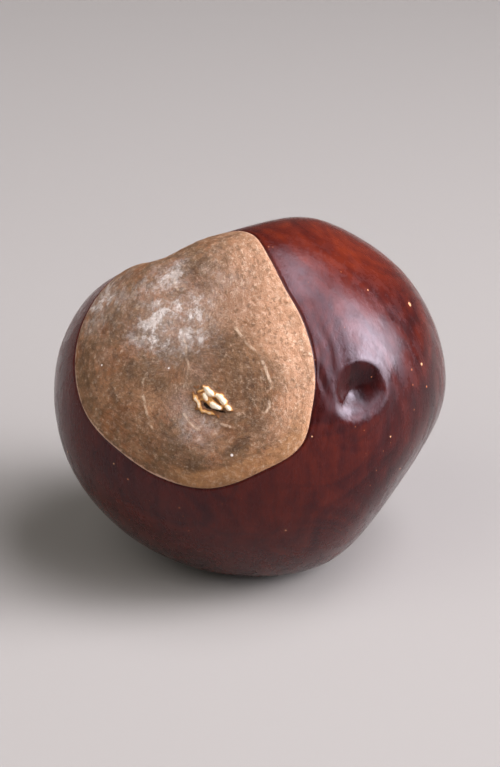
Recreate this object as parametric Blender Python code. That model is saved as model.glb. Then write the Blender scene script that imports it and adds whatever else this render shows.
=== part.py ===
"""A conker, the seed of the horse chestnut, lying on a small flat spot with its pale scar to the front.

The seed grew as one piece, so it is one closed body. Its form is a distance from the middle of the
seed in every direction: a rounded body, flattened where it was pressed in its husk, with the relief
of the scar, the knot in the scar and a few dimples added. Sizes are in millimetres until the mesh is
made, which is in metres. +Z is up and -Y is the front. The origin is on the surface that the seed
lies on, under the middle of its outline.
"""

import math

import bmesh
import bpy
import numpy as np

NAME = "conker"
MM = 0.001

# The rounded body: half its width, depth and height, and how sharply its flattened sides meet.
HALF_WIDTH = 19.1
HALF_DEPTH = 17.2
HALF_HEIGHT = 18.7
EDGE_SHARPNESS = 18.0

# Height of the seed's middle over the surface that it lies on. The body is cut flat there.
LYING_HEIGHT = 16.78

# Flattened sides: the way each one faces, as degrees round from the front to the right and degrees
# above the horizon, and its distance from the middle.
FLAT_SIDES = (
    ("scar_face", -27.2, 34.5, 16.2),
    ("crown", -144.1, 60.1, 14.8),
    ("left_shoulder", -100.1, 38.6, 18.6),
    ("right_shoulder", 130.0, 54.5, 18.15),
    ("right_side", 69.5, -29.3, 17.15),
    ("underside", 0.0, -90.0, 17.6),
    ("back", 146.2, -26.3, 17.05),
    ("left_back", -121.0, -17.9, 18.2),
)

# The scar: the way its middle faces, and its reach from there in degrees at each angle round it,
# counted from the right by way of the top.
SCAR_FACES = (-27.2, 34.5)
SCAR_OUTLINE = (
    (5, 42.5), (30, 38.8), (50, 37.4), (65, 39.5), (82, 44.5), (100, 47.5), (120, 51.5), (140, 47.5),
    (158, 44.5), (172, 43.0), (190, 41.5), (215, 40.7), (245, 38.6), (268, 41.0), (290, 44.2), (315, 45.4),
    (337, 47.9), (350, 45.0),
)
LIP_HEIGHT, LIP_INSET, LIP_WIDTH = 0.12, 0.5, 0.45
GROOVE_DEPTH, GROOVE_OFFSET, GROOVE_WIDTH = 0.15, 0.2, 0.22

# Hollows: the way each faces, half its breadth and height, its depth and the height of its lip.
HOLLOWS = (
    ("dimple", 36.5, 19.7, 3.3, 2.85, 0.7, 0.10),
    ("dimple_floor", 37.8, 21.2, 2.6, 2.3, 0.5, 0.0),
    ("back_dent", 168.0, 28.0, 4.6, 4.6, 0.45, 0.06),
    ("side_dent", 108.0, 12.0, 3.4, 3.4, 0.3, 0.05),
)
LIP_SPREAD = 0.22

# Long rises and hollows: the way each faces, half its length and breadth, its slant from level and its
# rise. The knot in the scar's saucer is where the seed's strand was attached.
OVALS = (
    ("saucer", -14.3, 26.0, 6.2, 4.8, 0.0, -0.3),
    ("knot", -13.5, 21.0, 1.75, 1.05, -21.0, 0.5),
    ("knot_pit", -13.3, 21.0, 0.85, 0.4, -30.0, -0.45),
    ("crown_valley", -128.5, 49.0, 9.0, 2.4, 42.7, -1.1),
)

# Slow swells of the whole skin: height, waves per turn, and the way each runs.
SWELLS = (
    (0.16, 3.1, 75.0, 20.0),
    (0.12, 4.3, -160.0, 35.0),
    (0.09, 6.0, 20.0, -50.0),
)

# The mesh: spokes round the scar's middle, and rings from there to the far side. Spokes are drawn
# together towards the dimple and the knot, and the scar's rings towards the knot: the centre of each
# crowd, its spread and its extra density. The rings by the scar's edge are distances from it.
SPOKES = 96
CROWDED_SPOKES = ((5.0, 16.0, 1.9), (314.0, 12.0, 1.6))
RINGS_IN_SCAR = 17
CROWDED_RINGS = ((0.41, 0.08, 2.0),)
EDGE_RINGS = (-0.5, 0.0, 0.3, 0.85)
RINGS_BY_DIMPLE, DIMPLE_BELT_END = 10, 72.0
RINGS_BEHIND = 20
CROWDING_STEPS = 721

SHARP_ANGLE = 40.0

COAT_COLOUR, COAT_ROUGHNESS = (0.20, 0.035, 0.013, 1.0), 0.25
SCAR_COLOUR, SCAR_ROUGHNESS = (0.36, 0.21, 0.12, 1.0), 0.8


def unit(vectors):
    return vectors / np.linalg.norm(vectors, axis=-1, keepdims=True)


def facing(turn, rise):
    """Unit vector that points turn degrees round from the front to the right, and rise degrees up."""
    turn, rise = math.radians(turn), math.radians(rise)
    level = math.cos(rise)
    return np.array([math.sin(turn) * level, -math.cos(turn) * level, math.sin(rise)])


def across_and_up(way):
    """Unit vectors to the right and upwards along the surface that faces this way."""
    across = unit(np.cross([0.0, 0.0, 1.0], way))
    return across, np.cross(way, across)


def scar_reach(around):
    """Reach of the scar in degrees at angles round its middle: a smooth closed curve."""
    at, reach = np.array(SCAR_OUTLINE, float).T
    at = np.concatenate([at[-2:] - 360.0, at, at[:2] + 360.0])
    reach = np.concatenate([reach[-2:], reach, reach[:2]])
    slope = np.gradient(reach, at)
    around = (np.asarray(around) - at[1]) % 360.0 + at[1]
    i = np.clip(np.searchsorted(at, around, side="right") - 1, 0, len(at) - 2)
    width = at[i + 1] - at[i]
    t = (around - at[i]) / width
    start, end = reach[i], reach[i + 1]
    rise_start, rise_end = slope[i] * width, slope[i + 1] * width
    return (
        start * (1 + 2 * t) * (1 - t) ** 2
        + end * t**2 * (3 - 2 * t)
        + rise_start * t * (1 - t) ** 2
        - rise_end * t**2 * (1 - t)
    )


def body_radius(ways):
    """Distance from the middle to the plain body, without relief."""
    half_sizes = np.array([HALF_WIDTH, HALF_DEPTH, HALF_HEIGHT])
    total = np.linalg.norm(ways / half_sizes, axis=1) ** EDGE_SHARPNESS
    for _, turn, rise, distance in FLAT_SIDES:
        towards = np.clip(ways @ facing(turn, rise), 0.0, None)
        total += (towards / distance) ** EDGE_SHARPNESS
    return total ** (-1.0 / EDGE_SHARPNESS)


def hump(distance, width):
    return np.exp(-((distance / width) ** 2))


def oval_distance(ways, radius, turn, rise, half_length, half_breadth, slant):
    """Distance from a spot on the surface, as a share of an oval's half sizes. It is far on the far side."""
    way = facing(turn, rise)
    across, up = across_and_up(way)
    x, y = radius * (ways @ across), radius * (ways @ up)
    c, s = math.cos(math.radians(slant)), math.sin(math.radians(slant))
    share = np.hypot((x * c + y * s) / half_length, (y * c - x * s) / half_breadth)
    return np.where(ways @ way > 0.0, share, np.inf)


def relief(ways, radius, past_edge):
    """Height of the surface over the plain body. past_edge is the distance outwards from the scar's edge."""
    height = LIP_HEIGHT * hump(past_edge + LIP_INSET, LIP_WIDTH)
    height -= GROOVE_DEPTH * hump(past_edge - GROOVE_OFFSET, GROOVE_WIDTH)
    for _, turn, rise, half_breadth, half_height, depth, lip in HOLLOWS:
        share = oval_distance(ways, radius, turn, rise, half_breadth, half_height, 0.0)
        height -= depth * np.clip(1.0 - share**2, 0.0, None) ** 2
        height += lip * hump(share - 1.0, LIP_SPREAD)
    for _, turn, rise, half_length, half_breadth, slant, lift in OVALS:
        share = oval_distance(ways, radius, turn, rise, half_length, half_breadth, slant)
        height += lift * np.exp(-(share**3))
    for swell, waves, turn, rise in SWELLS:
        height += swell * np.sin(waves * (ways @ facing(turn, rise)))
    return height


def crowded(count, whole, crowds):
    """Places from nothing up to a whole that comes round again, closer together by each crowd."""
    even = np.linspace(0.0, whole, CROWDING_STEPS)
    density = np.ones(len(even))
    for centre, spread, crowding in crowds:
        apart = (even - centre + whole / 2) % whole - whole / 2
        density += crowding * hump(apart, spread)
    passed = np.concatenate([[0.0], np.cumsum((density[1:] + density[:-1]) / 2)])
    return np.interp(np.arange(count) / count * passed[-1], passed, even)


def ring_angles(reach, radius):
    """Angles from the scar's middle of the rings on each spoke, in degrees: one row for each ring."""
    per_mm = 180.0 / (math.pi * radius)
    edge = [reach + distance * per_mm for distance in EDGE_RINGS]
    rings = [edge[0] * share for share in crowded(RINGS_IN_SCAR, 1.0, CROWDED_RINGS)[1:]]
    rings += edge
    for i in range(1, RINGS_BY_DIMPLE + 1):
        rings.append(edge[-1] + (DIMPLE_BELT_END - edge[-1]) * i / RINGS_BY_DIMPLE)
    for i in range(1, RINGS_BEHIND):
        rings.append(np.full(len(reach), DIMPLE_BELT_END + (180.0 - DIMPLE_BELT_END) * i / RINGS_BEHIND))
    return np.array(rings)


def surface_points(ways, past_edge):
    radius = body_radius(ways)
    return ways * (radius + relief(ways, radius, past_edge))[:, None]


def seed_points():
    """Points of the seed: the scar's middle, then ring by ring, then the far side. Also the ring count."""
    middle = facing(*SCAR_FACES)
    across, up = across_and_up(middle)
    around = crowded(SPOKES, 360.0, CROWDED_SPOKES)
    outwards = np.outer(np.cos(np.radians(around)), across) + np.outer(np.sin(np.radians(around)), up)
    reach = scar_reach(around)
    at_edge = np.radians(reach)[:, None]
    edge_radius = body_radius(np.cos(at_edge) * middle + np.sin(at_edge) * outwards)
    rings = ring_angles(reach, edge_radius)
    angle = np.radians(rings)[:, :, None]
    ways = (np.cos(angle) * middle + np.sin(angle) * outwards).reshape(-1, 3)
    past_edge = (np.radians(rings - reach) * edge_radius).reshape(-1)
    ends = np.array([middle, -middle])
    far_from_edge = np.array([-np.inf, np.inf])
    return (
        np.concatenate(
            [
                surface_points(ends[:1], far_from_edge[:1]),
                surface_points(ways, past_edge),
                surface_points(ends[1:], far_from_edge[1:]),
            ]
        ),
        len(rings),
    )


def seed_faces(mesh, verts, rings):
    """Joins the points into a closed skin. Faces inside the scar's edge take the second material."""

    def at(ring, spoke):
        return verts[1 + ring * SPOKES + spoke % SPOKES]

    edge_ring = RINGS_IN_SCAR - 1 + EDGE_RINGS.index(0.0)
    for spoke in range(SPOKES):
        mesh.faces.new((verts[0], at(0, spoke), at(0, spoke + 1))).material_index = 1
        mesh.faces.new((at(rings - 1, spoke + 1), at(rings - 1, spoke), verts[-1]))
        for ring in range(rings - 1):
            corners = (at(ring, spoke), at(ring + 1, spoke), at(ring + 1, spoke + 1), at(ring, spoke + 1))
            mesh.faces.new(corners).material_index = int(ring < edge_ring)


def cut_flat(mesh):
    """Cuts the seed level where it lies, and closes it with one flat face."""
    everything = mesh.verts[:] + mesh.edges[:] + mesh.faces[:]
    bmesh.ops.bisect_plane(
        mesh, geom=everything, plane_co=(0, 0, -LYING_HEIGHT), plane_no=(0, 0, -1), clear_outer=True
    )
    open_edges = [edge for edge in mesh.edges if edge.is_boundary]
    bmesh.ops.contextual_create(mesh, geom=open_edges)


def centre_and_scale(mesh):
    """Moves the middle of the seed's outline over the origin, its flat spot to the floor, and scales it."""
    corners = np.array([vert.co for vert in mesh.verts])
    low, high = corners.min(axis=0), corners.max(axis=0)
    shift = (-(low[0] + high[0]) / 2, -(low[1] + high[1]) / 2, LYING_HEIGHT)
    bmesh.ops.translate(mesh, verts=mesh.verts, vec=shift)
    bmesh.ops.scale(mesh, verts=mesh.verts, vec=(MM, MM, MM))


def plain_material(name, colour, roughness):
    material = bpy.data.materials.new(name)
    material.use_nodes = True
    shader = material.node_tree.nodes["Principled BSDF"]
    shader.inputs["Base Color"].default_value = colour
    shader.inputs["Roughness"].default_value = roughness
    shader.inputs["Metallic"].default_value = 0.0
    return material


def build_seed():
    points, rings = seed_points()
    mesh = bmesh.new()
    verts = [mesh.verts.new(point) for point in points]
    seed_faces(mesh, verts, rings)
    cut_flat(mesh)
    centre_and_scale(mesh)
    bmesh.ops.triangulate(mesh, faces=[face for face in mesh.faces if len(face.verts) > 3])
    bmesh.ops.recalc_face_normals(mesh, faces=mesh.faces)
    data = bpy.data.meshes.new(NAME)
    mesh.to_mesh(data)
    mesh.free()
    data.materials.append(plain_material("seed_coat", COAT_COLOUR, COAT_ROUGHNESS))
    data.materials.append(plain_material("scar", SCAR_COLOUR, SCAR_ROUGHNESS))
    data.shade_smooth()
    data.set_sharp_from_angle(angle=math.radians(SHARP_ANGLE))
    seed = bpy.data.objects.new(NAME, data)
    bpy.context.scene.collection.objects.link(seed)
    return seed


def main():
    for old in list(bpy.data.objects):
        bpy.data.objects.remove(old)
    build_seed()


main()
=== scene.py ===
import math

import bpy
import numpy as np
from mathutils import Matrix, Vector, noise


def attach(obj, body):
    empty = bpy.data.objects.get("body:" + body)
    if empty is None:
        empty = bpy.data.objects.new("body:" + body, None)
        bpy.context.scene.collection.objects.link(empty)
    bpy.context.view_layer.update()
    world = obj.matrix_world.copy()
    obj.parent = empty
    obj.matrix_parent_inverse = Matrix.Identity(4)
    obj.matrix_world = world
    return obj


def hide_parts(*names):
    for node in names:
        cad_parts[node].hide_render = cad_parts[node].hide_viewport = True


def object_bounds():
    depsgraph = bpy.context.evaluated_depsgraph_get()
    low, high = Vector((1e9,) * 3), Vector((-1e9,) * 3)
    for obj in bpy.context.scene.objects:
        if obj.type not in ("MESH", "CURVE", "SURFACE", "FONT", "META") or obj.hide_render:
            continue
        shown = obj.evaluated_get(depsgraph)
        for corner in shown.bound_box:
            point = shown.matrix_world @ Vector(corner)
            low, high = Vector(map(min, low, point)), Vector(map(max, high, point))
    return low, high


# A conker resting on a small flat spot, with its pale scar to the front: a glossy mahogany seed coat
# with a grain like wood, and a dull tan scar with a torn knot in a saucer. The seed's form is a distance
# from its middle in every direction. Lengths of the form are in millimetres, and +Z is up.

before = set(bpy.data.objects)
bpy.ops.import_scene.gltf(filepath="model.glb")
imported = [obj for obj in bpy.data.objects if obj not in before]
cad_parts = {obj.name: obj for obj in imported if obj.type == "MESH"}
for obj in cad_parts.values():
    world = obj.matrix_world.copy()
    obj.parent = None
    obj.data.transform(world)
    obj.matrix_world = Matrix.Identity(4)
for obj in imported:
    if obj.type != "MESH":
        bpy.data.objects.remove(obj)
frame_low, frame_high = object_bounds()

MM = 0.001

# A distance that is out of reach of every small mark.
FAR_OFF = 9.0

# The rounded body: half its width, depth and height, and how sharply its flattened sides meet.
HALF_WIDTH = 19.1
HALF_DEPTH = 17.2
HALF_HEIGHT = 18.7
EDGE_SHARPNESS = 18.0

# Height of the seed's middle over the surface that it lies on.
LYING_HEIGHT = 16.78

# Flattened sides: the way each one faces, as degrees round from the front to the right and degrees
# above the horizon, and its distance from the middle.
FLAT_SIDES = (
    ("scar_face", -27.2, 34.5, 16.2),
    ("crown", -144.1, 60.1, 14.8),
    ("left_shoulder", -100.1, 38.6, 18.6),
    ("right_shoulder", 130.0, 54.5, 18.15),
    ("right_side", 69.5, -29.3, 17.15),
    ("underside", 0.0, -90.0, 17.6),
    ("back", 146.2, -26.3, 17.05),
    ("left_back", -121.0, -17.9, 18.2),
)

# The scar: the way its middle faces, and its reach from there in degrees at each angle round it,
# counted from the right by way of the top.
SCAR_FACES = (-27.2, 34.5)
SCAR_OUTLINE = (
    (5, 42.5), (30, 38.8), (50, 37.4), (65, 39.5), (82, 44.5), (100, 47.5), (120, 51.5), (140, 47.5),
    (158, 44.5), (172, 43.0), (190, 41.5), (215, 40.7), (245, 38.6), (268, 41.0), (290, 44.2), (315, 45.4),
    (337, 47.9), (350, 45.0),
)

# The skin rises just inside the scar's edge and dips just outside it: how much, how far from the edge
# and how wide.
LIP_HEIGHT, LIP_INSET, LIP_WIDTH = 0.08, 0.5, 0.45
GROOVE_DEPTH, GROOVE_OFFSET, GROOVE_WIDTH = 0.09, 0.09, 0.11

# Hollows: the way each faces, half its breadth and height, its depth and the height of its lip.
HOLLOWS = (
    ("dimple", 36.5, 19.7, 3.45, 2.98, 0.7, 0.08),
    ("dimple_floor", 37.8, 21.2, 2.7, 2.4, 0.44, 0.0),
    ("back_dent", 168.0, 28.0, 4.6, 4.6, 0.45, 0.06),
    ("side_dent", 108.0, 12.0, 3.4, 3.4, 0.3, 0.05),
)

# How far in the sides of a hollow slope, the width of its lip as a share of its own, and the size and
# the share of the bends in its outline.
HOLLOW_SHAPE, LIP_SPREAD = 2.5, 0.24
UNEVEN_SIZE, UNEVENNESS = 1.5, 0.06

# Long rises and hollows: the way each faces, half its length and breadth, its slant from level and its
# rise. The knot in the scar's saucer is where the seed's strand was attached.
SAUCER = (-14.3, 26.0, 6.2, 4.8, 0.0, -0.3)
KNOT = (-13.5, 21.0, 1.75, 1.05, -21.0, 0.5)
CROWN_VALLEY = (-128.5, 49.0, 9.0, 2.4, 42.7, -1.1)

# Slow swells of the whole skin: height, waves per turn, and the way each runs.
SWELLS = (
    (0.16, 3.1, 75.0, 20.0),
    (0.12, 4.3, -160.0, 35.0),
    (0.09, 6.0, 20.0, -50.0),
)

# Rough heights: how much finer each octave is than the last, and the power of that by which it is lower.
OCTAVE_STEP, OCTAVE_POWER = 2.0, 1.0


def unit(vectors):
    return vectors / np.linalg.norm(vectors, axis=-1, keepdims=True)


def facing(turn, rise):
    """Unit vector that points turn degrees round from the front to the right, and rise degrees up."""
    turn, rise = math.radians(turn), math.radians(rise)
    level = math.cos(rise)
    return np.array([math.sin(turn) * level, -math.cos(turn) * level, math.sin(rise)])


def across_and_up(way):
    """Unit vectors to the right and upwards along the surface that faces this way."""
    across = unit(np.cross([0.0, 0.0, 1.0], way))
    return across, np.cross(way, across)


def scar_reach(around):
    """Reach of the scar in degrees at angles round its middle: a smooth curve through its outline."""
    at, reach = np.array(SCAR_OUTLINE, float).T
    at = np.concatenate([at[-2:] - 360.0, at, at[:2] + 360.0])
    reach = np.concatenate([reach[-2:], reach, reach[:2]])
    slope = np.gradient(reach, at)
    around = (np.asarray(around) - at[1]) % 360.0 + at[1]
    i = np.clip(np.searchsorted(at, around, side="right") - 1, 0, len(at) - 2)
    width = at[i + 1] - at[i]
    t = (around - at[i]) / width
    start, end = reach[i], reach[i + 1]
    rise_start, rise_end = slope[i] * width, slope[i + 1] * width
    return (
        start * (1 + 2 * t) * (1 - t) ** 2
        + end * t**2 * (3 - 2 * t)
        + rise_start * t * (1 - t) ** 2
        - rise_end * t**2 * (1 - t)
    )


def body_radius(ways):
    """Distance from the middle to the plain body, without relief."""
    half_sizes = np.array([HALF_WIDTH, HALF_DEPTH, HALF_HEIGHT])
    total = np.linalg.norm(ways / half_sizes, axis=1) ** EDGE_SHARPNESS
    for _, turn, rise, distance in FLAT_SIDES:
        towards = np.clip(ways @ facing(turn, rise), 0.0, None)
        total += (towards / distance) ** EDGE_SHARPNESS
    return total ** (-1.0 / EDGE_SHARPNESS)


def hump(distance, width):
    """A bell shape: one at no distance, and soon nothing past this width."""
    return np.exp(-((distance / width) ** 2))


def rough(points, size, octaves=1):
    """Soft random height of about one either way at points, with lumps of this size."""
    scaled = points / size
    if octaves == 1:
        return np.array([noise.noise(Vector(p)) for p in scaled])
    return np.array([noise.fractal(Vector(p), OCTAVE_POWER, OCTAVE_STEP, octaves) for p in scaled])


def turned(right, high, slope):
    """Places to the right and up on a patch, measured along a slope in degrees and across it instead."""
    c, s = math.cos(math.radians(slope)), math.sin(math.radians(slope))
    return right * c + high * s, high * c - right * s


def on_patch(ways, radius, turn, rise, slant=0.0):
    """Places along the surface, from a spot on it: along the slant and across it. The far side is far."""
    way = facing(turn, rise)
    across, up = across_and_up(way)
    along, aside = turned(radius * (ways @ across), radius * (ways @ up), slant)
    near = ways @ way > 0.0
    return np.where(near, along, np.inf), np.where(near, aside, np.inf)


def oval_distance(ways, radius, turn, rise, half_length, half_breadth, slant):
    """Distance from a spot on the surface, as a share of an oval's half sizes."""
    along, aside = on_patch(ways, radius, turn, rise, slant)
    return np.hypot(along / half_length, aside / half_breadth)


def main_relief(ways, radius, past_edge):
    """Height of the surface over the plain body, at distances outwards from the scar's edge."""
    uneven = UNEVENNESS * rough(ways * radius[:, None], UNEVEN_SIZE)
    height = LIP_HEIGHT * hump(past_edge + LIP_INSET, LIP_WIDTH)
    height -= GROOVE_DEPTH * hump(past_edge - GROOVE_OFFSET, GROOVE_WIDTH)
    for _, turn, rise, half_breadth, half_height, depth, lip in HOLLOWS:
        share = oval_distance(ways, radius, turn, rise, half_breadth, half_height, 0.0) + uneven
        height -= depth * np.clip(1.0 - share**2, 0.0, None) ** HOLLOW_SHAPE
        height += lip * hump(share - 1.0, LIP_SPREAD)
    for turn, rise, half_length, half_breadth, slant, lift in (SAUCER, CROWN_VALLEY):
        share = oval_distance(ways, radius, turn, rise, half_length, half_breadth, slant)
        height += lift * np.exp(-(share**3))
    for swell, waves, turn, rise in SWELLS:
        height += swell * np.sin(waves * (ways @ facing(turn, rise)))
    return height


# Faint dents of the skin: size and depth. Its ripples: size, how slowly they change upwards next to
# sideways, and height.
DENTS = ((6.5, 0.05), (2.6, 0.016))
RIPPLE_SIZE, RIPPLE_UPWARDS, RIPPLE_HEIGHT = 1.1, 0.45, 0.009

# The scar's fibrous skin: size and height of its lumps.
FIBRE_RELIEF = ((1.1, 0.030), (0.42, 0.018))

# Stretches of the way round the scar, in degrees: where each begins and ends, and how softly.
CREASED_ARC = (-34.0, 24.0, 24.0)
RIM_ARC = (-84.0, -15.0, 24.0)
PALE_ARC = (-26.0, 84.0, 34.0)

# Creases in the coat along the scar's edge: depth, how far out they last, how far apart they are, the
# degrees round the scar in which they change, and the slice of the noise that draws them.
CREASE_DEPTH, CREASE_FADE, CREASE_SPACING = 0.07, 2.4, 0.8
CREASE_TURN, CREASE_SLICE = 26.0, 4.2

# The scar's rim at the lower right: how wide, how soft and how high it is, and the depth and width of
# the groove inside it.
RIM_WIDTH, RIM_SOFTNESS, RIM_HEIGHT = 1.75, 0.3, 0.045
RIM_GROOVE_DEPTH, RIM_GROOVE_WIDTH = 0.09, 0.22

# Creases and fibres end this far from the scar's edge.
EDGE_MARGIN = 0.1

# Thin raised lines on the scar, left by the edges of its saucer and by the strands that fed the seed, and
# the folds of the coat beside the scar. Each is a run of ways that a point faces.
LINE_HEIGHT, LINE_WIDTH = 0.05, 0.15
SCAR_LINES = (
    ((-40.4, 25.3), (-41.0, 22.3), (-39.6, 18.7), (-37.4, 15.8), (-35.3, 12.5), (-32.5, 8.8)),
    ((-8.0, 46.0), (-4.9, 43.5), (-1.1, 39.6), (3.6, 36.1), (5.5, 31.7), (6.7, 28.0), (6.9, 25.4)),
    ((6.3, 21.5), (6.3, 19.7), (3.5, 16.1)),
    ((-46.3, 57.4), (-45.0, 55.3), (-41.2, 53.7)),
    ((-31.6, 41.2), (-28.3, 37.7), (-27.0, 33.8), (-24.4, 30.6), (-24.8, 24.1)),
    ((-22.6, 15.5), (-19.5, 12.7), (-16.4, 11.3)),
    ((-9.2, 13.9), (-6.3, 13.4)),
)
FOLD_DEPTH, FOLD_WIDTH = 0.09, 0.4
SHOULDER_SHARE, SHOULDER_WIDTH = 0.45, 0.95
COAT_FOLDS = (
    ((27.5, 48.5), (27.9, 44.3), (28.6, 39.7), (29.5, 35.1), (28.8, 31.6), (28.3, 27.5)),
    ((23.4, 31.0), (23.9, 27.0), (25.4, 21.4), (25.6, 17.0), (25.0, 12.5)),
)

# Lines and folds come and go along their length: the share that is there in the main, and how long the
# stretches are.
STEADY_SHARE = 0.7
LINE_STRETCH, FOLD_STRETCH = 1.1, 2.1

# The torn knot, in millimetres to the right of its middle and above it: slits, and chips of skin that stand
# up round them. Each has half its length and breadth, its slope, and its depth or height.
SLITS = (
    (0.48, 0.10, 0.62, 0.11, -36.0, 0.16),
    (0.86, -0.86, 0.60, 0.08, -8.0, 0.40),
    (-0.46, -0.50, 0.46, 0.20, -32.0, 0.34),
)
CHIPS = (
    (-0.24, 0.74, 0.62, 0.34, -30.0, 0.46),
    (-0.56, 0.30, 0.44, 0.24, -62.0, 0.42),
    (0.98, 0.28, 0.86, 0.27, -36.0, 0.46),
    (0.46, -0.40, 0.74, 0.29, -22.0, 0.46),
    (1.70, -0.46, 0.36, 0.24, -20.0, 0.44),
    (-1.30, -0.24, 1.05, 0.20, -54.0, 0.28),
    (-0.22, -1.10, 0.95, 0.16, -11.0, 0.26),
    (-1.15, 0.78, 0.45, 0.13, 25.0, 0.22),
)

# The shares of the knot's rise that its ground has, and that the chips keep of the ground under them.
# Then how ragged its pieces are, the size of the rags, and how far from its middle it can reach.
GROUND_SHARE, UNDER_CHIPS = 0.36, 0.4
TORN_SHARE, TORN_SIZE, KNOT_REACH = 0.42, 0.4, 4.0


def band(values, low, high, soft):
    """One between low and high, fading to nothing over soft outside them."""
    rising = np.clip((values - low) / soft + 0.5, 0.0, 1.0)
    falling = np.clip((high - values) / soft + 0.5, 0.0, 1.0)
    share = np.minimum(rising, falling)
    return share * share * (3.0 - 2.0 * share)


def on_arc(around, arc):
    """One on a stretch of the way round the scar, and nothing elsewhere."""
    return band((around + 180.0) % 360.0 - 180.0, *arc)


def coming_and_going(points, stretch):
    """How much of a line or a fold is there at each point."""
    return STEADY_SHARE + rough(points, stretch)


def line_distance(points, lines):
    """Distance of points from the nearest of some lines, each a run of ways on the plain body."""
    nearest = np.full(len(points), np.inf)
    for line in lines:
        ways = np.array([facing(turn, rise) for turn, rise in line])
        corners = ways * body_radius(ways)[:, None]
        for start, end in zip(corners[:-1], corners[1:]):
            run = end - start
            share = np.clip((points - start) @ run / (run @ run), 0.0, 1.0)
            nearest = np.minimum(nearest, np.linalg.norm(points - start - share[:, None] * run, axis=1))
    return nearest


def coat_relief(ways, radius, around, past_edge):
    """Faint dents and ripples of the skin, and the coat's folds and creases to the right of the scar."""
    points = ways * radius[:, None]
    height = sum(deep * rough(points, size) for size, deep in DENTS)
    height += RIPPLE_HEIGHT * rough(points * (1.0, 1.0, RIPPLE_UPWARDS), RIPPLE_SIZE)
    from_fold = line_distance(points, COAT_FOLDS)
    fold = SHOULDER_SHARE * hump(from_fold, SHOULDER_WIDTH) - hump(from_fold, FOLD_WIDTH)
    height += FOLD_DEPTH * coming_and_going(points, FOLD_STRETCH) * fold
    slice_of_noise = np.full(len(around), CREASE_SLICE)
    along = np.stack([past_edge / CREASE_SPACING, around / CREASE_TURN, slice_of_noise], axis=1)
    creases = (1.0 - 2.0 * np.abs(rough(along, 1.0))) ** 2
    creases *= on_arc(around, CREASED_ARC) * np.exp(-np.clip(past_edge, 0.0, None) / CREASE_FADE)
    return np.where(past_edge > EDGE_MARGIN, height - CREASE_DEPTH * creases, height)


def scar_relief(ways, radius, around, past_edge):
    """The scar's fibrous skin, its raised rim at the lower right and its thin raised lines."""
    points = ways * radius[:, None]
    height = sum(deep * rough(points, size, 2) for size, deep in FIBRE_RELIEF)
    rim = RIM_HEIGHT * band(past_edge, -RIM_WIDTH, -EDGE_MARGIN, RIM_SOFTNESS)
    rim -= RIM_GROOVE_DEPTH * hump(past_edge + RIM_WIDTH, RIM_GROOVE_WIDTH)
    height += on_arc(around, RIM_ARC) * rim
    line = hump(line_distance(points, SCAR_LINES), LINE_WIDTH)
    height += LINE_HEIGHT * coming_and_going(points, LINE_STRETCH) * line
    return np.where(past_edge < -EDGE_MARGIN, height, 0.0)


def knot_relief(ways, radius):
    """The torn knot: a low mound with broken chips of skin round its slits."""
    points = ways * radius[:, None]
    turn, rise, half_length, half_breadth, slant, lift = KNOT
    right, high = on_patch(ways, radius, turn, rise)
    near = np.hypot(right, high) < KNOT_REACH
    right, high = np.where(near, right, FAR_OFF), np.where(near, high, FAR_OFF)
    ragged = 1.0 + TORN_SHARE * rough(points, TORN_SIZE, 2)

    def piece(at_right, at_high, half_length, half_breadth, slope):
        along, aside = turned(right - at_right, high - at_high, slope)
        share = np.hypot(along / half_length, aside / half_breadth) * ragged
        return np.exp(-(share**4))

    ground = GROUND_SHARE * lift * piece(0.0, 0.0, half_length, half_breadth, slant)
    height = ground
    for *place, tall in CHIPS:
        height = np.maximum(height, UNDER_CHIPS * ground + tall * piece(*place))
    for *place, deep in SLITS:
        height = height - deep * piece(*place)
    return height


# The mesh: rings round the scar's middle, and spokes that are drawn together towards the dimple and the
# knot. A crowd is where it is, how far it spreads and how many more there are in its middle. Ring
# distances are in millimetres along the surface where they are by the scar's edge, and the belt past
# them, by the dimple, ends at an angle in degrees from the scar's middle.
SPOKES, FEWEST_SPOKES = 384, 24
CROWDED_SPOKES = ((5.0, 16.0, 1.9), (314.0, 14.0, 2.2))
WIDEST_STEP = 0.31
RINGS_IN_SCAR = 104
CROWDED_RINGS = ((0.41, 0.07, 1.8),)
CROWDING_STEPS = 1441
EDGE_FROM, EDGE_TO, FIRST_EDGE_STEP = -1.5, 1.7, 0.05
EDGE_RINGS_INSIDE, EDGE_RINGS_OUTSIDE = 12, 16
RINGS_BY_DIMPLE, DIMPLE_BELT_END = 44, 74.0
RINGS_BEHIND = 108

# Distances past the scar's edge that stand for the scar's middle and for the point opposite it.
AT_SCAR_MIDDLE, OPPOSITE_SCAR = -99.0, 99.0


def crowded(count, whole, crowds):
    """Places from nothing up to a whole that comes round again, closer together by each crowd."""
    even = np.linspace(0.0, whole, CROWDING_STEPS)
    density = np.ones(len(even))
    for centre, spread, crowding in crowds:
        apart = (even - centre + whole / 2) % whole - whole / 2
        density += crowding * hump(apart, spread)
    passed = np.concatenate([[0.0], np.cumsum((density[1:] + density[:-1]) / 2)])
    return np.interp(np.arange(count) / count * passed[-1], passed, even)


def edge_steps():
    """Distances of the rings by the scar's edge, closest together at the edge itself."""
    inner = -np.geomspace(-EDGE_FROM, FIRST_EDGE_STEP, EDGE_RINGS_INSIDE)
    outer = np.geomspace(FIRST_EDGE_STEP, EDGE_TO, EDGE_RINGS_OUTSIDE)
    return np.concatenate([inner, [0.0], outer])


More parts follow.
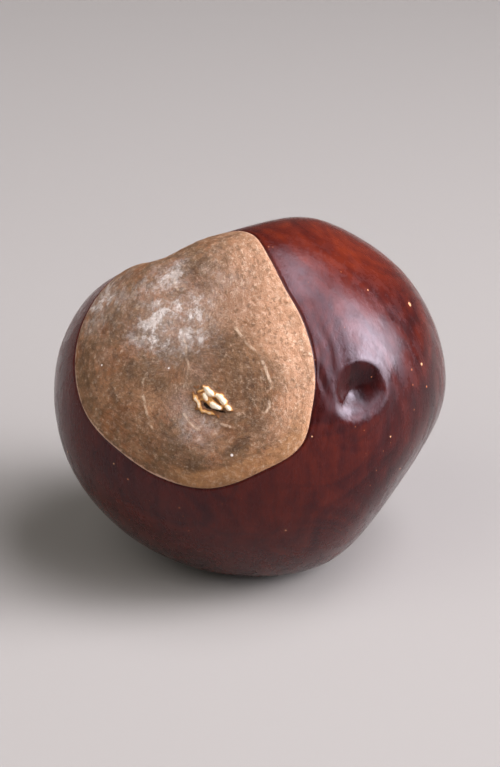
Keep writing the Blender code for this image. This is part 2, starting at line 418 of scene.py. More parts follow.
def ring_angles(reach, radius):
    """Angles from the scar's middle of the rings on each spoke, in degrees: one row for each ring."""
    per_mm = 180.0 / (math.pi * radius)
    edge = [reach + distance * per_mm for distance in edge_steps()]
    rings = [edge[0] * share for share in crowded(RINGS_IN_SCAR, 1.0, CROWDED_RINGS)[1:]]
    rings += edge
    for i in range(1, RINGS_BY_DIMPLE + 1):
        rings.append(edge[-1] + (DIMPLE_BELT_END - edge[-1]) * i / RINGS_BY_DIMPLE)
    for i in range(1, RINGS_BEHIND):
        rings.append(np.full(len(reach), DIMPLE_BELT_END + (180.0 - DIMPLE_BELT_END) * i / RINGS_BEHIND))
    return np.array(rings)


def spokes_for(ring_radius):
    """Number of spokes on a ring of this radius: halved for as long as its points stay close enough."""
    count = SPOKES
    while count > FEWEST_SPOKES and 2.0 * math.pi * ring_radius / (count // 2) < WIDEST_STEP:
        count //= 2
    return count


def stitched(inner, outer):
    """Faces between two rings of points, where one may have half as many points as the other."""
    most = max(len(inner), len(outer))
    if len(inner) == len(outer):
        return [(inner[i - 1], outer[i - 1], outer[i], inner[i]) for i in range(most)]
    faces = []
    for i in range(0, most, 2):
        if len(inner) < len(outer):
            near, far = inner[i // 2], inner[(i // 2 + 1) % len(inner)]
            first, second, third = outer[i], outer[i + 1], outer[(i + 2) % most]
            faces += [(near, first, second), (near, second, far), (far, second, third)]
        else:
            near, far = outer[i // 2], outer[(i // 2 + 1) % len(outer)]
            first, second, third = inner[i], inner[i + 1], inner[(i + 2) % most]
            faces += [(first, near, second), (second, near, far), (second, far, third)]
    return faces


def seed_rings():
    """The way of each point, its angle round the scar, its distance past the scar's edge, and the rings."""
    middle = facing(*SCAR_FACES)
    across, up = across_and_up(middle)
    around = crowded(SPOKES, 360.0, CROWDED_SPOKES)
    outwards = np.outer(np.cos(np.radians(around)), across) + np.outer(np.sin(np.radians(around)), up)
    reach = scar_reach(around)
    at_edge = np.radians(reach)[:, None]
    edge_radius = body_radius(np.cos(at_edge) * middle + np.sin(at_edge) * outwards)
    ways, arounds, past_edges, rings = [middle[None]], [[0.0]], [[AT_SCAR_MIDDLE]], [[0]]
    count = 1
    for angles in ring_angles(reach, edge_radius):
        ring_radius = HALF_HEIGHT * math.sin(math.radians(angles.mean()))
        kept = np.arange(0, SPOKES, SPOKES // spokes_for(ring_radius))
        angle = np.radians(angles[kept])[:, None]
        ways.append(np.cos(angle) * middle + np.sin(angle) * outwards[kept])
        arounds.append(around[kept])
        past_edges.append((np.radians(angles - reach) * edge_radius)[kept])
        rings.append(list(range(count, count + len(kept))))
        count += len(kept)
    ways.append(-middle[None])
    arounds.append([0.0])
    past_edges.append([OPPOSITE_SCAR])
    rings.append([count])
    return np.concatenate(ways), np.concatenate(arounds), np.concatenate(past_edges), rings


def seed_faces(rings):
    """Faces of the closed skin, and for each one whether it is on the scar."""
    faces, on_scar = [], []
    edge_ring = RINGS_IN_SCAR + EDGE_RINGS_INSIDE
    for i in range(len(rings) - 1):
        inner, outer = rings[i], rings[i + 1]
        if len(inner) == 1:
            new = [(inner[0], outer[j - 1], outer[j]) for j in range(len(outer))]
        elif len(outer) == 1:
            new = [(inner[j - 1], outer[0], inner[j]) for j in range(len(inner))]
        else:
            new = stitched(inner, outer)
        faces += new
        on_scar += [i < edge_ring] * len(new)
    return faces, on_scar


# Patches of white bloom on the scar: the way each faces, its radius and how dense it is.
BLOOM = (
    (-41.0, 43.0, 2.5, 1.4),
    (-28.0, 43.5, 1.5, 0.8),
    (-28.7, 48.4, 1.8, 1.15),
    (-50.7, 56.3, 1.7, 0.85),
    (-51.8, 47.5, 2.1, 0.75),
    (-74.6, 38.5, 2.4, 0.8),
    (-29.9, 38.6, 2.1, 0.5),
    (-22.9, 42.0, 1.9, 0.6),
    (-49.2, 37.6, 1.9, 0.6),
    (-72.6, 31.7, 1.8, 0.3),
    (-20.0, 58.0, 3.0, 0.15),
    (-18.0, 14.0, 2.2, 0.35),
)

# Patches of the scar that are darker, and patches that are rosy: the same. The darker ones are partly the
# scar's own darker brown and partly painted shade, as on the saucer's right wall.
DARK_AND_SHADED_PATCHES = (
    (-1.6, 26.0, 2.1, 0.85),
    (-11.0, 34.5, 1.9, 0.6),
    (-9.4, 42.6, 1.1, 0.5),
    (1.6, 16.8, 2.0, 0.9),
    (0.5, 12.5, 2.2, 0.35),
    (-14.0, 60.0, 4.0, 0.5),
    (-37.5, 33.4, 1.5, 0.6),
    (-34.4, 21.5, 1.2, 0.4),
    (-30.6, 4.5, 1.8, 0.3),
    (-45.7, 9.8, 1.8, 0.5),
    (-50.0, 24.0, 1.6, 0.45),
    (-57.2, 33.8, 1.4, 0.45),
    (-17.0, 64.1, 1.5, 0.6),
    (-66.0, 20.0, 1.5, 0.4),
)
ROSY = (
    (-17.7, 12.5, 1.6, 0.8),
    (-24.6, 18.5, 1.4, 0.8),
    (-20.4, 30.0, 1.1, 0.5),
    (-30.0, 54.0, 1.8, 0.5),
    (-10.0, 54.0, 2.4, 0.4),
    (-58.7, 24.8, 1.2, 0.4),
)

# Where the pale side of the scar begins outside the saucer, in shares of the saucer, and how softly.
PALE_FROM_SAUCER, PALE_SOFTNESS = 0.9, 0.3

# Single specks that show from a step away: the way each one faces, and its radius.
COAT_SPECKS = (
    (77.0, 34.3, 0.27), (65.9, 18.9, 0.17), (59.1, 46.2, 0.09), (46.5, 3.2, 0.1), (54.2, -11.2, 0.08),
    (19.3, 9.5, 0.08), (12.0, -24.0, 0.1), (-46.0, -6.0, 0.09), (-72.0, -12.0, 0.14), (-118.0, 12.0, 0.16),
    (-150.0, 34.0, 0.22), (168.0, 4.0, 0.12), (128.0, 22.0, 0.2), (104.0, -16.0, 0.1), (-96.0, 52.0, 0.11),
)
SCAR_SPECKS = ((-5.6, 4.5, 0.15), (-58.0, 22.0, 0.1), (-33.0, 29.0, 0.1))

# Where the coat is warmer, towards orange, or darker, towards maroon: the way, how wide and how much.
# The last two rows are painted shade in the dimple's hollow. Its grain adds to the plain warmth, which is
# low for that.
PLAIN_WARMTH = -0.04
WARMTH_AND_SHADE = (
    (75.0, 58.0, 0.35, 0.06),
    (61.0, 58.0, 0.12, 0.14),
    (150.0, 30.0, 0.6, 0.2),
    (-105.0, 45.0, 0.35, 0.35),
    (60.0, -25.0, 0.5, -0.12),
    (70.0, 10.0, 0.5, -0.16),
    (-60.0, -15.0, 0.6, -0.05),
    # Painted shade: these two darken the dimple's hollow, most at its upper right.
    (36.8, 20.8, 0.3, -0.1),
    (40.5, 22.5, 0.08, -0.14),
)

# The finishes keep distances within these limits, past which nothing depends on them.
NEAR_LIMIT, EDGE_LIMITS = 3.0, (-9.0, 40.0)

# Radius at which the streaks and fibres of the scar are laid out round its middle.
FIBRE_RADIUS = 12.0


def patch_cover(ways, radius, patches):
    """How densely round patches cover each point, fading outwards from the middle of each."""
    cover = np.zeros(len(ways))
    for turn, rise, reach, dense in patches:
        share = oval_distance(ways, radius, turn, rise, reach, reach, 0.0)
        cover = np.maximum(cover, dense * hump(share, 1.0))
    return cover


def skin_fields(ways, radius, around, past_edge, torn, points):
    """What the finishes need to know of each point, by name."""
    plain = ways * radius[:, None]
    saucer = oval_distance(ways, radius, *SAUCER[:5])
    outside_saucer = np.clip((saucer - PALE_FROM_SAUCER) / PALE_SOFTNESS, 0.0, 1.0)
    warmth_and_shade = np.full(len(ways), PLAIN_WARMTH)
    for turn, rise, wide, much in WARMTH_AND_SHADE:
        warmth_and_shade += much * np.exp((ways @ facing(turn, rise) - 1.0) / wide**2)
    turn = np.radians(around)
    scar_round = (FIBRE_RADIUS * np.cos(turn), FIBRE_RADIUS * np.sin(turn), -past_edge)
    return {
        "warmth_and_shade": warmth_and_shade,
        "past_edge": np.clip(past_edge, *EDGE_LIMITS),
        "saucer": np.minimum(saucer, NEAR_LIMIT),
        "from_line": np.minimum(line_distance(plain, SCAR_LINES), NEAR_LIMIT),
        "from_fold": np.minimum(line_distance(plain, COAT_FOLDS), NEAR_LIMIT),
        "bloom": patch_cover(ways, radius, BLOOM),
        "dark_and_shaded": patch_cover(ways, radius, DARK_AND_SHADED_PATCHES),
        "rosy": patch_cover(ways, radius, ROSY),
        "pale_side": on_arc(around, PALE_ARC) * outside_saucer,
        "rim": on_arc(around, RIM_ARC),
        "torn": torn,
        "place": points,
        "scar_round": np.stack(scar_round, axis=1),
    }


def add_field(mesh, name, values):
    """Keeps a number or a place for each point of the mesh, for the finishes to read."""
    kind, part = ("FLOAT", "value") if values.ndim == 1 else ("FLOAT_VECTOR", "vector")
    attribute = mesh.attributes.new(name, kind, "POINT")
    attribute.data.foreach_set(part, values.astype(np.float32).ravel())


def surface_spot(turn, rise):
    """The point of the skin that faces this way, without the fine relief."""
    way = facing(turn, rise)[None]
    radius = body_radius(way)
    return (way * (radius + main_relief(way, radius, np.full(1, FAR_OFF)))[:, None])[0]


def shift_to_frame(points):
    """How far the seed moves to lie on its flat spot at the middle of the frame."""
    frame_middle = (np.array(frame_low) + np.array(frame_high)) / 2 / MM
    shift = frame_middle - (points.min(axis=0) + points.max(axis=0)) / 2
    shift[2] = LYING_HEIGHT
    return shift


def build_seed():
    """The whole seed as one fine mesh, with the glossy coat and the dull scar as its two finishes."""
    ways, around, past_edge, rings = seed_rings()
    radius = body_radius(ways)
    torn = knot_relief(ways, radius)
    height = main_relief(ways, radius, past_edge) + torn
    height += coat_relief(ways, radius, around, past_edge)
    height += scar_relief(ways, radius, around, past_edge)
    points = ways * (radius + height)[:, None]
    points[:, 2] = np.maximum(points[:, 2], -LYING_HEIGHT)
    faces, on_scar = seed_faces(rings)
    mesh = bpy.data.meshes.new("conker_skin")
    mesh.from_pydata((points + shift_to_frame(points)) * MM, [], faces)
    mesh.polygons.foreach_set("material_index", np.array(on_scar, np.int32))
    for name, values in skin_fields(ways, radius, around, past_edge, torn, points).items():
        add_field(mesh, name, values)
    mesh.shade_smooth()
    seed = bpy.data.objects.new("conker_skin", mesh)
    bpy.context.scene.collection.objects.link(seed)
    return seed


def colour(red, green, blue):
    """Linear colour of a shade given as screen values from 0 to 255."""
    shades = [value / 255 for value in (red, green, blue)]
    return (*(s / 12.92 if s < 0.04045 else ((s + 0.055) / 1.055) ** 2.4 for s in shades), 1.0)


class Finish:
    """The node tree of a finish or of a shared effect, with a short way to put in each kind of node."""

    def __init__(self, tree):
        self.tree = tree

    def feed(self, node, values):
        """Sets inputs of a node, by name or number. A value may be another node's output."""
        for name, value in dict(values).items():
            if isinstance(value, bpy.types.NodeSocket):
                self.tree.links.new(value, node.inputs[name])
            else:
                node.inputs[name].default_value = value

    def put(self, kind, values=(), **settings):
        """Adds a node with its settings and the values of its inputs."""
        node = self.tree.nodes.new(kind)
        for name, setting in settings.items():
            setattr(node, name, setting)
        self.feed(node, values)
        return node

    def field(self, name, output="Fac"):
        return self.put("ShaderNodeAttribute", attribute_name=name).outputs[output]

    def work_out(self, operation, *values):
        return self.put("ShaderNodeMath", enumerate(values), operation=operation).outputs[0]

    def times(self, first, second):
        return self.work_out("MULTIPLY", first, second)

    def plus(self, base, mask, much=1.0):
        """The base with so much of the mask added."""
        return self.work_out("MULTIPLY_ADD", mask, much, base)

    def fade(self, value, low, high, to_low=0.0, to_high=1.0):
        """A smooth step from to_low to to_high as the value goes from low to high."""
        values = {"Value": value, "From Min": low, "From Max": high, "To Min": to_low, "To Max": to_high}
        return self.put("ShaderNodeMapRange", values, interpolation_type="SMOOTHSTEP").outputs[0]

    def clouds(self, place, scale, detail, roughness, distortion=0.0):
        """Cloudy noise from 0 to 1, with scale lumps to a millimetre."""
        values = {"Vector": place, "Scale": scale, "Detail": detail, "Roughness": roughness}
        values["Distortion"] = distortion
        return self.put("ShaderNodeTexNoise", values).outputs["Fac"]

    def bent(self, place, scale, much):
        """Places pushed about by a slow noise, so that what is drawn straight on them comes out wavy."""
        values = {"Vector": place, "Scale": scale, "Detail": 2.0}
        push = self.put("ShaderNodeTexNoise", values).outputs["Color"]
        values = {0: push, 1: (much,) * 3, 2: place}
        return self.put("ShaderNodeVectorMath", values, operation="MULTIPLY_ADD").outputs[0]

    def stretched(self, place, scale=(1.0, 1.0, 1.0), turn=(0.0, 0.0, 0.0)):
        """Places scaled along X, Y and Z, then turned about them by degrees."""
        values = {"Vector": place, "Rotation": [math.radians(angle) for angle in turn], "Scale": scale}
        return self.put("ShaderNodeMapping", values).outputs[0]

    def blend(self, share, first, second):
        """A colour that goes from the first to the second as the share goes from 0 to 1."""
        return self.put("ShaderNodeMix", {0: share, 6: first, 7: second}, data_type="RGBA").outputs[2]

    def painted(self, shade, *layers):
        """The shade with layers over it: each has where it lies, how strongly, and its colour."""
        for mask, strength, paint in layers:
            shade = self.blend(self.times(mask, strength), shade, paint)
        return shade

    def shades(self, share, *stops):
        """A colour ramp: each stop is a place from 0 to 1 and a colour."""
        ramp = self.put("ShaderNodeValToRGB", {"Fac": share})
        elements = ramp.color_ramp.elements
        while len(elements) < len(stops):
            elements.new(1.0)
        for element, (at, shade) in zip(elements, stops):
            element.position = at
            element.color = shade
        return ramp.outputs[0]

    def spots(self, place, spots, ragged):
        """One on some spots of the skin, with edges as ragged as this noise."""
        nearest = FAR_OFF
        for turn, rise, radius in spots:
            ends = {0: place, 1: surface_spot(turn, rise)}
            away = self.put("ShaderNodeVectorMath", ends, operation="DISTANCE").outputs["Value"]
            nearest = self.work_out("MINIMUM", nearest, self.work_out("DIVIDE", away, radius))
        return self.fade(self.plus(nearest, ragged), 1.6, 1.2)

    def bumps(self, height, tall):
        """The way the surface faces once this height is laid on it. Its unit is tall millimetres."""
        values = {"Height": height, "Distance": tall * MM, "Strength": 1.0}
        return self.put("ShaderNodeBump", values).outputs["Normal"]

    def effect(self, group, *values):
        """Puts in a shared effect with its values in the order of its inputs, and returns its mask."""
        return self.put("ShaderNodeGroup", enumerate(values), node_tree=group).outputs[0]


def new_effect(name, inputs, output):
    """A node group for an effect that is used more than once, with the sockets of its inputs."""
    group = bpy.data.node_groups.new(name, "ShaderNodeTree")
    for label in inputs:
        kind = "NodeSocketVector" if label == "Place" else "NodeSocketFloat"
        group.interface.new_socket(label, in_out="INPUT", socket_type=kind)
    group.interface.new_socket(output, in_out="OUTPUT", socket_type="NodeSocketFloat")
    nodes = Finish(group)
    return nodes, nodes.put("NodeGroupInput").outputs


def wood_grain():
    """Swirling lines like the grain of a burr: the level lines of a slow field, drawn out as streaks."""
    nodes, given = new_effect("wood_grain", ("Place", "Swirls", "Lines"), "Grain")
    field = nodes.clouds(given["Place"], given["Swirls"], 1.0, 0.35, 0.9)
    values = {"W": nodes.times(field, given["Lines"]), "Scale": 1.0, "Detail": 3.0}
    lines = nodes.put("ShaderNodeTexNoise", values, noise_dimensions="1D")
    nodes.put("NodeGroupOutput", {0: nodes.fade(lines.outputs["Fac"], 0.3, 0.7)})
    return nodes.tree


def scattered_specks():
    """Small round specks, one to a cell, where the cell's own random number is under their share."""
    nodes, given = new_effect("scattered_specks", ("Place", "Cells", "Radius", "Share"), "Specks")
    cells = nodes.put("ShaderNodeTexVoronoi", {"Vector": given["Place"], "Scale": given["Cells"]})
    picked = nodes.put("ShaderNodeSeparateColor", {0: cells.outputs["Color"]}).outputs[0]
    present = nodes.work_out("LESS_THAN", picked, given["Share"])
    edge = nodes.work_out("DIVIDE", cells.outputs["Distance"], given["Radius"])
    nodes.put("NodeGroupOutput", {0: nodes.times(nodes.fade(edge, 1.2, 0.6), present)})
    return nodes.tree


def fine_fibres():
    """Thin raised fibres: the ridges of a noise, sharpened."""
    nodes, given = new_effect("fine_fibres", ("Place", "Fibres", "Sharpness"), "Ridges")
    field = nodes.clouds(given["Place"], given["Fibres"], 3.0, 0.6, 0.4)
    off_middle = nodes.work_out("ABSOLUTE", nodes.plus(-1.0, field, 2.0))
    ridge = nodes.work_out("MAXIMUM", nodes.plus(1.0, off_middle, -3.0), 0.0)
    nodes.put("NodeGroupOutput", {0: nodes.work_out("POWER", ridge, given["Sharpness"])})
    return nodes.tree


def new_finish(name):
    """A material with its node tree cleared but for the shader, and that shader."""
    material = bpy.data.materials.new(name)
    material.use_nodes = True
    material.node_tree.nodes.clear()
    nodes = Finish(material.node_tree)
    shader = nodes.put("ShaderNodeBsdfPrincipled")
    nodes.put("ShaderNodeOutputMaterial", {"Surface": shader.outputs["BSDF"]})
    return material, nodes, shader


DEEP_MAROON = colour(30, 8, 8)
MAROON = colour(52, 14, 12)
MAHOGANY = colour(80, 25, 14)
CHESTNUT = colour(102, 36, 17)
ORANGE_BROWN = colour(132, 56, 22)
SPECK_TAN = colour(196, 118, 78)
SPECK_CREAM = colour(208, 156, 116)
LINE_AND_FOLD_SHADE = colour(26, 8, 8)
COAT_GLEAM = (0.96, 0.85, 1.0, 1.0)


def coat_tone(nodes, place, grain, mottles):
    """How warm the coat is, with painted shade in the dimple: broad and narrow swirls of grain, mottles,
    and upward streaks.
    """
    broad = nodes.effect(grain, place, 0.05, 7.0)
    narrow = nodes.effect(grain, nodes.stretched(place, (1.0, 1.0, 0.7), (20, 35, 10)), 0.06, 30.0)
    upright = nodes.clouds(nodes.stretched(place, (1.0, 1.0, 0.13), (0, 10, 0)), 0.95, 4.0, 0.6)
    tone = nodes.field("warmth_and_shade")
    for mask, much in ((broad, 0.2), (narrow, 0.08), (mottles, 0.24), (upright, 0.4)):
        tone = nodes.plus(tone, mask, much)
    return tone


def coat_colour(nodes, place, grain, specks, fine):
    """Maroon to orange brown: darker on old lines, painted shade by the scar and in folds, and tan specks.
    """
    mottles = nodes.clouds(place, 0.9, 4.0, 0.65)
    shade = nodes.shades(
        coat_tone(nodes, place, grain, mottles),
        (0.0, DEEP_MAROON),
        (0.22, MAROON),
        (0.5, MAHOGANY),
        (0.75, CHESTNUT),
        (1.0, ORANGE_BROWN),
    )
    old_lines = nodes.effect(grain, place, 0.06, 52.0)
    from_fold = nodes.plus(nodes.field("from_fold"), mottles, 0.5)
    dots = nodes.effect(specks, place, 0.6, 0.07, 0.16)
    small_dots = nodes.effect(specks, nodes.stretched(place, turn=(0, 30, 50)), 1.3, 0.09, 0.08)
    dotted = nodes.work_out("MAXIMUM", nodes.times(dots, 0.6), nodes.times(small_dots, 0.45))
    return nodes.painted(
        shade,
        (nodes.fade(old_lines, 0.22, 0.0), 0.2, LINE_AND_FOLD_SHADE),
        # Painted shade in the groove along the scar's edge.
        (nodes.fade(nodes.field("past_edge"), 0.2, 0.06), 0.28, DEEP_MAROON),
        # Painted shade in the coat's folds, in the same dark colour as the old lines.
        (nodes.fade(from_fold, 0.5, 0.2), 0.2, LINE_AND_FOLD_SHADE),
        (dotted, 1.0, SPECK_TAN),
        (nodes.spots(place, COAT_SPECKS, fine), 0.9, SPECK_CREAM),
    )


def coat_roughness(nodes, place, streaks):
    """Glossy, with smears and fine streaks that are duller, and duller towards the folds."""
    smears = nodes.clouds(nodes.stretched(place, (1.0, 1.0, 0.4), (0, 20, 0)), 0.8, 5.0, 0.66)
    smeared = nodes.fade(smears, 0.4, 0.6, 0.13, 0.27)
    by_fold = nodes.fade(nodes.field("from_fold"), 1.6, 0.4, 0.0, 0.11)
    return nodes.plus(nodes.plus(smeared, streaks, 0.08), by_fold)


def glossy_coat(grain, specks, fibres):
    """The polished seed coat: mahogany with swirls of orange and maroon, tan specks and fine streaks."""
    material, nodes, shader = new_finish("glossy_seed_coat")
    place = nodes.field("place", "Vector")
    fine = nodes.clouds(place, 4.0, 4.0, 0.65)
    streaks = nodes.effect(fibres, nodes.stretched(place, (1.0, 1.0, 0.22), (0, 25, 35)), 2.6, 1.4)
    values = {
        "Base Color": coat_colour(nodes, place, grain, specks, fine),
        "Roughness": coat_roughness(nodes, place, streaks),
        "Normal": nodes.bumps(nodes.plus(fine, streaks, 0.5), 0.009),
        "Coat Weight": 0.06,
        "Coat Roughness": 0.15,
        "IOR": 1.33,
        "Specular IOR Level": 0.48,
        "Specular Tint": COAT_GLEAM,
    }
    nodes.feed(shader, values)
    return material


SCAR_UMBER = colour(100, 71, 47)
SCAR_OLIVE = colour(126, 93, 63)
SCAR_BROWN = colour(150, 107, 74)
SCAR_TAN = colour(180, 135, 100)
SCAR_RUST = colour(168, 103, 60)
SCAR_PINK = colour(194, 148, 117)
SCAR_ROSE = colour(182, 138, 116)
SCAR_PALE = colour(240, 212, 184)
SCAR_DARK = colour(66, 42, 28)
SCAR_SHADOW = colour(136, 92, 58)
SAUCER_OLIVE = colour(122, 92, 62)
BLOOM_WHITE = colour(244, 234, 228)
RIM_GOLD = colour(178, 128, 82)
EDGE_CREAM = colour(214, 176, 152)
CHIP_CREAM = colour(250, 230, 202)
TORN_GOLD = colour(226, 168, 100)
TORN_BROWN = colour(134, 84, 48)
SLIT_SHADE = colour(40, 24, 15)


class ScarSkin:
    """The layers of the scar's colour, from the skin up, with the noises and masks that they share."""

    def __init__(self, nodes, specks, fibres):
        self.nodes = nodes
        self.specks = specks
        self.place = nodes.field("place", "Vector")
        self.round_scar = nodes.field("scar_round", "Vector")
        self.pale_side = nodes.field("pale_side")
        self.patches = nodes.clouds(nodes.bent(self.place, 0.35, 1.6), 0.26, 5.0, 0.64)
        self.mottles = nodes.clouds(self.place, 0.85, 5.0, 0.7)
        self.crumbs = nodes.clouds(self.place, 1.5, 8.0, 0.82)
        self.pale = nodes.times(self.pale_side, nodes.fade(self.patches, 0.36, 0.54, 0.62, 1.0))
        self.ragged_edge = nodes.plus(nodes.field("past_edge"), self.crumbs, 0.9)
        ragged_rim = nodes.plus(self.ragged_edge, self.mottles, 1.6)
        self.rim = nodes.times(nodes.field("rim"), nodes.fade(ragged_rim, -1.2, 0.1))
        self.dark = nodes.blend(nodes.work_out("MAXIMUM", self.pale, self.rim), SCAR_DARK, SCAR_SHADOW)
        fleck_noise = nodes.clouds(nodes.stretched(self.round_scar, (0.9, 0.9, 1.2)), 2.0, 6.0, 0.78)
        self.flecks = nodes.fade(fleck_noise, 0.5, 0.66)
        self.wavy = nodes.bent(self.place, 3.0, 0.7)
        self.dark_grains = nodes.effect(specks, self.wavy, 2.0, 0.42, 0.55)
        self.lines = nodes.effect(fibres, nodes.stretched(self.round_scar, (0.35, 0.35, 1.0)), 1.1, 1.8)

    def plain_skin(self):
        """Olive and tan in patches, rusty here and there, with the saucer, the pale side and the rim."""
        nodes = self.nodes
        tone = nodes.plus(nodes.times(self.patches, 0.6), self.mottles, 0.4)
        shade = nodes.shades(
            tone, (0.36, SCAR_UMBER), (0.45, SCAR_OLIVE), (0.53, SCAR_BROWN), (0.64, SCAR_TAN)
        )
        rust = nodes.clouds(nodes.stretched(self.place, turn=(40, 0, 70)), 0.42, 5.0, 0.7)
        saucer = nodes.plus(nodes.field("saucer"), self.patches, 0.5)
        return nodes.painted(
            shade,
            (nodes.fade(rust, 0.48, 0.64), 0.5, SCAR_RUST),
            (nodes.fade(saucer, 1.4, 0.9), 0.35, SAUCER_OLIVE),
            (self.pale, 0.8, SCAR_PINK),
            (nodes.field("rosy"), nodes.fade(self.mottles, 0.36, 0.58, 0.35, 1.0), SCAR_ROSE),
            # Darker patches: partly the scar's own colour, partly painted shade, as on the saucer's right
            # wall.
            (nodes.field("dark_and_shaded"), nodes.fade(self.mottles, 0.62, 0.4, 0.45, 0.95), SCAR_UMBER),
            (self.rim, nodes.fade(self.mottles, 0.4, 0.6, 0.42, 0.76), RIM_GOLD),
        )

    def with_texture(self, shade):
        """Smudges, crumbs, flecks, grains and fine lines. The grains are strongest on the pale side."""
        nodes = self.nodes
        smudges = nodes.clouds(nodes.stretched(self.round_scar, (0.42, 0.42, 1.3)), 0.8, 5.0, 0.68)
        turned_places = nodes.stretched(self.wavy, turn=(50, 20, 0))
        pale_grains = nodes.effect(self.specks, turned_places, 2.4, 0.38, 0.4)
        grainy = nodes.fade(self.pale_side, 0.0, 1.0, 0.2, 0.5)
        return nodes.painted(
            shade,
            (nodes.fade(smudges, 0.48, 0.34), 0.4, self.dark),
            (nodes.fade(self.crumbs, 0.47, 0.36), 0.6, self.dark),
            (nodes.fade(self.crumbs, 0.54, 0.68), 0.5, SCAR_PALE),
            (self.flecks, nodes.fade(self.pale_side, 0.0, 1.0, 0.22, 0.38), SCAR_PALE),
            (self.dark_grains, grainy, SCAR_UMBER),
            (pale_grains, nodes.times(grainy, 0.55), SCAR_PALE),
            (self.lines, 0.35, self.dark),
        )

    def with_bloom(self, shade):
        """White bloom: lacy patches with brighter sparks in them."""
        nodes = self.nodes
        lace = nodes.fade(nodes.clouds(self.place, 0.62, 8.0, 0.74, 0.4), 0.46, 0.6)
        sparks = nodes.fade(nodes.clouds(self.place, 2.0, 5.0, 0.62), 0.5, 0.66)
        frost = nodes.plus(nodes.times(nodes.plus(0.75, sparks, 0.7), lace), sparks, 0.42)
        white = nodes.times(nodes.plus(0.14, frost, 0.72), nodes.field("bloom"))
        return nodes.painted(shade, (nodes.work_out("MINIMUM", white, 0.85), 1.0, BLOOM_WHITE))

    def with_marks(self, shade):
        """Broken thin lines, pits, a thin pale border and a few white specks."""
        nodes = self.nodes
        broken = nodes.fade(nodes.clouds(self.place, 0.9, 5.0, 0.7), 0.42, 0.56, 0.15, 1.0)
        from_line = nodes.plus(nodes.field("from_line"), self.crumbs, 0.35)
        thin_lines = nodes.times(nodes.fade(from_line, 0.36, 0.22), broken)
        pits = nodes.effect(self.specks, nodes.bent(self.place, 3.0, 0.5), 0.8, 0.13, 0.35)
        beside_pale = nodes.work_out("MAXIMUM", self.rim, self.pale_side)
        border_strength = nodes.fade(beside_pale, 0.0, 1.0, 0.85, 0.1)
        return nodes.painted(
            shade,
            (thin_lines, 0.52, SCAR_PALE),
            (pits, 0.45, self.dark),
            (nodes.fade(self.ragged_edge, 0.16, 0.3), border_strength, EDGE_CREAM),
            (nodes.spots(self.place, SCAR_SPECKS, self.crumbs), 1.0, BLOOM_WHITE),
        )

    def with_knot(self, shade):
        """The torn knot, by its height: brown at its foot, then gold, cream chips, and painted shade in its
        slits.
        """
        nodes = self.nodes
        torn = nodes.field("torn")
        ragged = nodes.plus(torn, self.crumbs, 0.12)
        return nodes.painted(
            shade,
            (nodes.fade(ragged, 0.09, 0.15), 1.0, TORN_BROWN),
            (nodes.fade(ragged, 0.17, 0.25), 1.0, TORN_GOLD),
            (nodes.fade(ragged, 0.3, 0.4), 1.0, CHIP_CREAM),
            # Painted shade in the slits, where the knot is cut in.
            (nodes.fade(torn, 0.0, -0.12), 1.0, SLIT_SHADE),
        )

    def height(self):
        """Fine height: crumbs and flecks stand up, and lines and dark grains are cut in."""
        height = self.nodes.times(self.crumbs, 1.6)
        for mask, much in ((self.flecks, 0.25), (self.lines, -0.3), (self.dark_grains, -0.15)):
            height = self.nodes.plus(height, mask, much)
        return height


def dull_scar(specks, fibres):
    """The matt scar: olive and tan with fibres, a pale side, white bloom, a thin border and the knot."""
    material, nodes, shader = new_finish("dull_scar")
    skin = ScarSkin(nodes, specks, fibres)
    shade = skin.with_texture(skin.plain_skin())
    shade = skin.with_marks(skin.with_bloom(shade))
    values = {
        "Base Color": skin.with_knot(shade),
        "Roughness": nodes.plus(0.6, skin.crumbs, 0.25),
        "Normal": nodes.bumps(skin.height(), 0.1),
        "Specular IOR Level": 0.3,
    }
    nodes.feed(shader, values)
    return material


# The camera: its height over the level in degrees, its distance from the seed's middle, its lens and how
# near it sees, with distances in metres.
CAMERA_RISE, CAMERA_DISTANCE = 25.0, 0.31
CAMERA_LENS, CAMERA_NEAREST = 150.0, 0.01

# The lights, all as far from the seed: the direction to each one, its two sizes, its watts and the way
# that its first size runs. Directions are as the camera sees them: to the right, up and towards it.
LIGHT_DISTANCE = 0.6
KEY_LIGHTS = (
    ("key_high", (0.38, 0.81, 0.46), (0.28, 0.44), 0.62, (1.0, 0.1, 0.0)),
    ("key_side", (0.88, 0.42, 0.24), (0.48, 0.27), 1.02, (0.36, -0.46, -0.52)),
    ("key_front", (0.60, 0.27, 0.74), (0.17, 0.40), 0.21, (1.0, 0.0, -0.8)),
    ("key_low", (0.92, 0.17, 0.30), (0.30, 0.28), 0.56, (0.36, -0.46, -0.52)),
)
FILL_LIGHT = ("fill", (-0.7, 0.5, 0.8), (0.6, 0.6), 1.85, (1.0, 0.0, 0.0))
COOL_LIGHT, WARM_LIGHT = (0.95, 0.93, 1.0), (1.0, 0.97, 0.93)

# How wide the lights shine, in degrees. Grids keep the key lights off the floor beside the seed.
KEY_SPREAD, FILL_SPREAD = 70.0, 180.0

ROOM_SHADE, ROOM_STRENGTH = (1.0, 0.98, 0.96, 1.0), 0.12
FLOOR_GREY, FLOOR_HALF = colour(152, 148, 144), 1.5


def aimed(thing, place, target, width_way):
    """Puts a light or camera at a place so that it looks at the target and its width runs one way."""
    back = (Vector(place) - Vector(target)).normalized()
    right = (width_way - width_way.project(back)).normalized()
    up = back.cross(right)
    turned_to = Matrix((right, up, back)).transposed().to_4x4()
    thing.matrix_world = Matrix.Translation(place) @ turned_to
    bpy.context.scene.collection.objects.link(thing)
    return thing


def from_camera(right, up, towards):
    """World vector of a direction that is given as the camera sees it."""
    c, s = math.cos(math.radians(CAMERA_RISE)), math.sin(math.radians(CAMERA_RISE))
    return Vector((right, up * s - towards * c, up * c + towards * s))


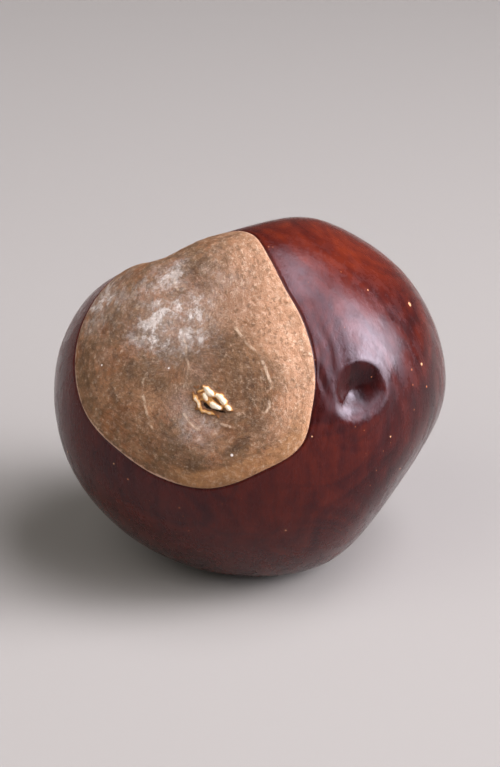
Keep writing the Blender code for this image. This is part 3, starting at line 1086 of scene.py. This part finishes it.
def place_camera(middle):
    lens = bpy.data.cameras.new("camera")
    lens.lens = CAMERA_LENS
    lens.clip_start = CAMERA_NEAREST
    place = middle + from_camera(0.0, 0.0, 1.0) * CAMERA_DISTANCE
    camera = bpy.data.objects.new("camera", lens)
    bpy.context.scene.camera = aimed(camera, place, middle, from_camera(1.0, 0.0, 0.0))


def soft_box(middle, light_row, shade, spread):
    """A flat light that faces the seed."""
    name, direction, size, watts, width_way = light_row
    light = bpy.data.lights.new(name, "AREA")
    light.shape = "RECTANGLE"
    light.size, light.size_y = size
    light.energy = watts
    light.spread = math.radians(spread)
    light.color = shade
    place = middle + from_camera(*direction).normalized() * LIGHT_DISTANCE
    aimed(bpy.data.objects.new(name, light), place, middle, from_camera(*width_way))


def light_room():
    """The pale room that the seed is in: a weak even light from all round."""
    world = bpy.data.worlds.new("pale_room")
    world.use_nodes = True
    room = world.node_tree.nodes["Background"]
    room.inputs["Color"].default_value = ROOM_SHADE
    room.inputs["Strength"].default_value = ROOM_STRENGTH
    bpy.context.scene.world = world
    bpy.context.scene.view_settings.view_transform = "Standard"


def lay_floor():
    """A pale floor without any gloss, which would glare white from behind."""
    half = FLOOR_HALF
    corners = [(-half, -half, 0), (half, -half, 0), (half, half, 0), (-half, half, 0)]
    mesh = bpy.data.meshes.new("floor")
    mesh.from_pydata(corners, [], [(0, 1, 2, 3)])
    material, nodes, shader = new_finish("pale_floor")
    nodes.feed(shader, {"Base Color": FLOOR_GREY, "Roughness": 1.0, "Specular IOR Level": 0.0})
    mesh.materials.append(material)
    floor = bpy.data.objects.new("floor", mesh)
    bpy.context.scene.collection.objects.link(floor)


def build_studio(middle):
    """The camera, the lights and the pale floor."""
    place_camera(middle)
    for light_row in KEY_LIGHTS:
        soft_box(middle, light_row, COOL_LIGHT, KEY_SPREAD)
    soft_box(middle, FILL_LIGHT, WARM_LIGHT, FILL_SPREAD)
    light_room()
    lay_floor()


seed = build_seed()
grain, specks, fibres = wood_grain(), scattered_specks(), fine_fibres()
seed.data.materials.append(glossy_coat(grain, specks, fibres))
seed.data.materials.append(dull_scar(specks, fibres))
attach(seed, "root")
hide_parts("conker")
build_studio((frame_low + frame_high) / 2)
